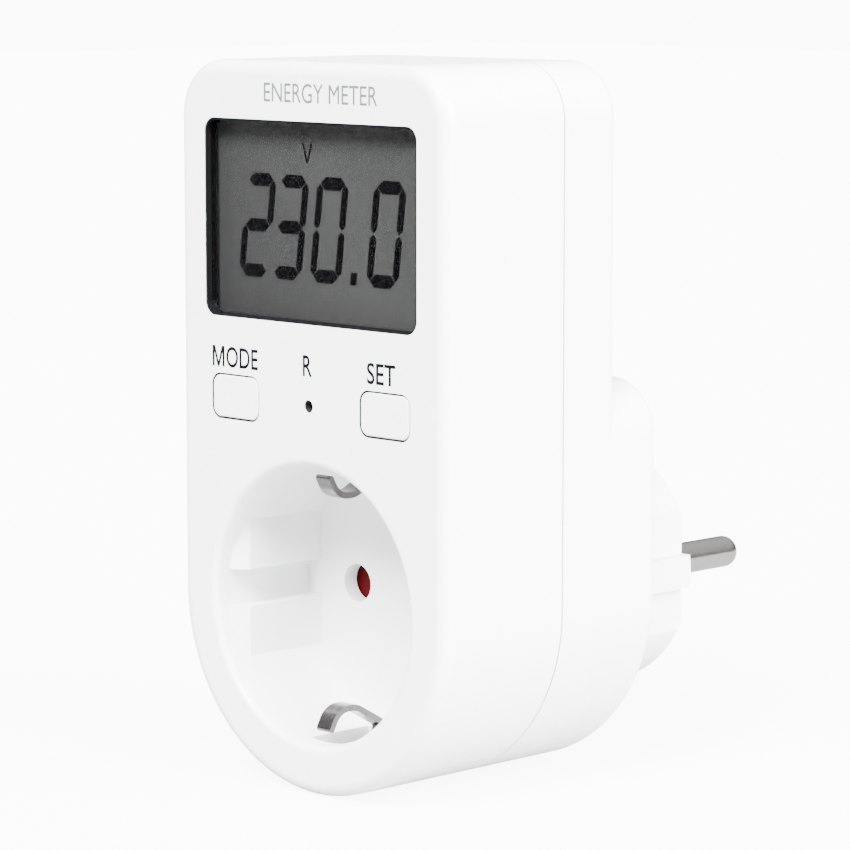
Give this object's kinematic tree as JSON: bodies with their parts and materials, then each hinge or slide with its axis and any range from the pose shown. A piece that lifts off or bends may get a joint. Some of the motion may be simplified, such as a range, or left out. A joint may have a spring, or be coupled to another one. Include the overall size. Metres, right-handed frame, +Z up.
{
  "type": "plug-in energy meter",
  "caption": "Plug-in energy meter with a pass-through earthed socket well, a display window, press keys, a reset pinhole and a rear plug.",
  "frame": {"origin": "centre of the plug face, where the plug axis leaves it", "axes": "+Y along the plug axis into the wall socket, +Z up the case towards the display, +X to the right seen from the front"},
  "size_m": [0.0544, 0.08, 0.1037],
  "materials": {
    "white_case": "satin white moulded plastic",
    "white_insert": "satin white moulded plastic",
    "white_key": "satin white moulded plastic",
    "nickel_pin": "nickel plated and polished",
    "earth_metal": "nickel plated spring strip",
    "red_shutter": "dark red moulded plastic",
    "spring_wire": "drawn wire",
    "grey_carrier": "light grey moulded plastic",
    "contact_brass": "stamped",
    "shunt_alloy": "copper alloy strip",
    "clear_window": "clear polished plastic",
    "display_glass": "grey liquid crystal glass",
    "zebra_rubber": "matte",
    "black_gasket": "matte black",
    "circuit_board": "solder resist",
    "chip_black": "moulded epoxy",
    "can_metal": "drawn can",
    "plunger_plastic": "moulded",
    "capacitor_box": "yellow moulded box",
    "varistor_blue": "dipped coating",
    "resistor_body": "painted ceramic",
    "live_insulation": "brown insulation",
    "neutral_insulation": "blue insulation",
    "ribbon_grey": "grey ribbon",
    "screw_steel": "zinc plated"
  },
  "bodies": {
    "housing": {"front_shell": "white_case", "rear_shell": "white_case", "socket_well": "white_insert", "plug_body": "white_insert", "live_pin_left": "nickel_pin", "live_pin_right": "nickel_pin", "plug_earth_strip_top": "earth_metal", "plug_earth_strip_bottom": "earth_metal", "earth_bridge": "earth_metal", "shutter_spring": "spring_wire", "shutter_cover": "grey_carrier", "contact_carrier": "grey_carrier", "lcd_frame": "grey_carrier", "live_contact_left": "contact_brass", "live_contact_right": "contact_brass", "shunt_resistor": "shunt_alloy", "display_window": "clear_window", "lcd_panel": "display_glass", "contact_rubber_top": "zebra_rubber", "contact_rubber_bottom": "zebra_rubber", "window_gasket": "black_gasket", "display_board": "circuit_board", "power_board": "circuit_board", "controller_chip": "chip_black", "mode_switch": "chip_black", "set_switch": "chip_black", "reset_switch": "chip_black", "rectifier_diodes": "chip_black", "clock_crystal": "can_metal", "backup_battery": "can_metal", "filter_capacitor": "can_metal", "film_capacitor": "capacitor_box", "varistor": "varistor_blue", "dropper_resistors": "resistor_body", "live_lead": "live_insulation", "neutral_lead": "neutral_insulation", "ribbon_cable": "ribbon_grey", "case_screws": "screw_steel", "display_board_screws": "screw_steel", "power_board_screws": "screw_steel"},
    "mode_key": {"mode_button": "white_key"},
    "set_key": {"set_button": "white_key"},
    "mode_plunger_body": {"mode_plunger": "plunger_plastic"},
    "set_plunger_body": {"set_plunger": "plunger_plastic"},
    "reset_plunger_body": {"reset_plunger": "plunger_plastic"},
    "shutter": {"shutter_disc": "red_shutter"},
    "top_clip": {"earth_clip_top": "earth_metal"},
    "bottom_clip": {"earth_clip_bottom": "earth_metal"}
  },
  "joints": [
    {"name": "mode_press", "type": "slide", "parent": "housing", "child": "mode_key", "axis": [0, 1, 0], "range_m": [0, 0.0005], "stiffness_N_per_m": 1000, "springref_m": -0.0004},
    {"name": "set_press", "type": "slide", "parent": "housing", "child": "set_key", "axis": [0, 1, 0], "range_m": [0, 0.0005], "stiffness_N_per_m": 1000, "springref_m": -0.0004},
    {"name": "mode_plunger_travel", "type": "slide", "parent": "housing", "child": "mode_plunger_body", "axis": [0, 1, 0], "range_m": [0, 0.0005]},
    {"name": "set_plunger_travel", "type": "slide", "parent": "housing", "child": "set_plunger_body", "axis": [0, 1, 0], "range_m": [0, 0.0005]},
    {"name": "reset_press", "type": "slide", "parent": "housing", "child": "reset_plunger_body", "axis": [0, 1, 0], "range_m": [0, 0.0005], "stiffness_N_per_m": 1000, "springref_m": -0.0004},
    {"name": "shutter_turn", "type": "hinge", "parent": "housing", "child": "shutter", "pos_m": [0, -0.0389, 0], "axis": [0, 1, 0], "range_deg": [0, 40], "stiffness_Nm_per_rad": 0.01, "springref_deg": -17.19},
    {"name": "top_clip_flex", "type": "hinge", "parent": "housing", "child": "top_clip", "pos_m": [0, -0.04695, 0.022], "axis": [-1, 0, 0], "range_deg": [0, 6], "stiffness_Nm_per_rad": 0.25, "springref_deg": -2.86},
    {"name": "bottom_clip_flex", "type": "hinge", "parent": "housing", "child": "bottom_clip", "pos_m": [0, -0.04695, -0.022], "axis": [1, 0, 0], "range_deg": [0, 6], "stiffness_Nm_per_rad": 0.25, "springref_deg": -2.86}
  ],
  "couplings": [
    {"joint": "mode_plunger_travel", "follows": "mode_press", "ratio": 1},
    {"joint": "set_plunger_travel", "follows": "set_press", "ratio": 1}
  ]
}
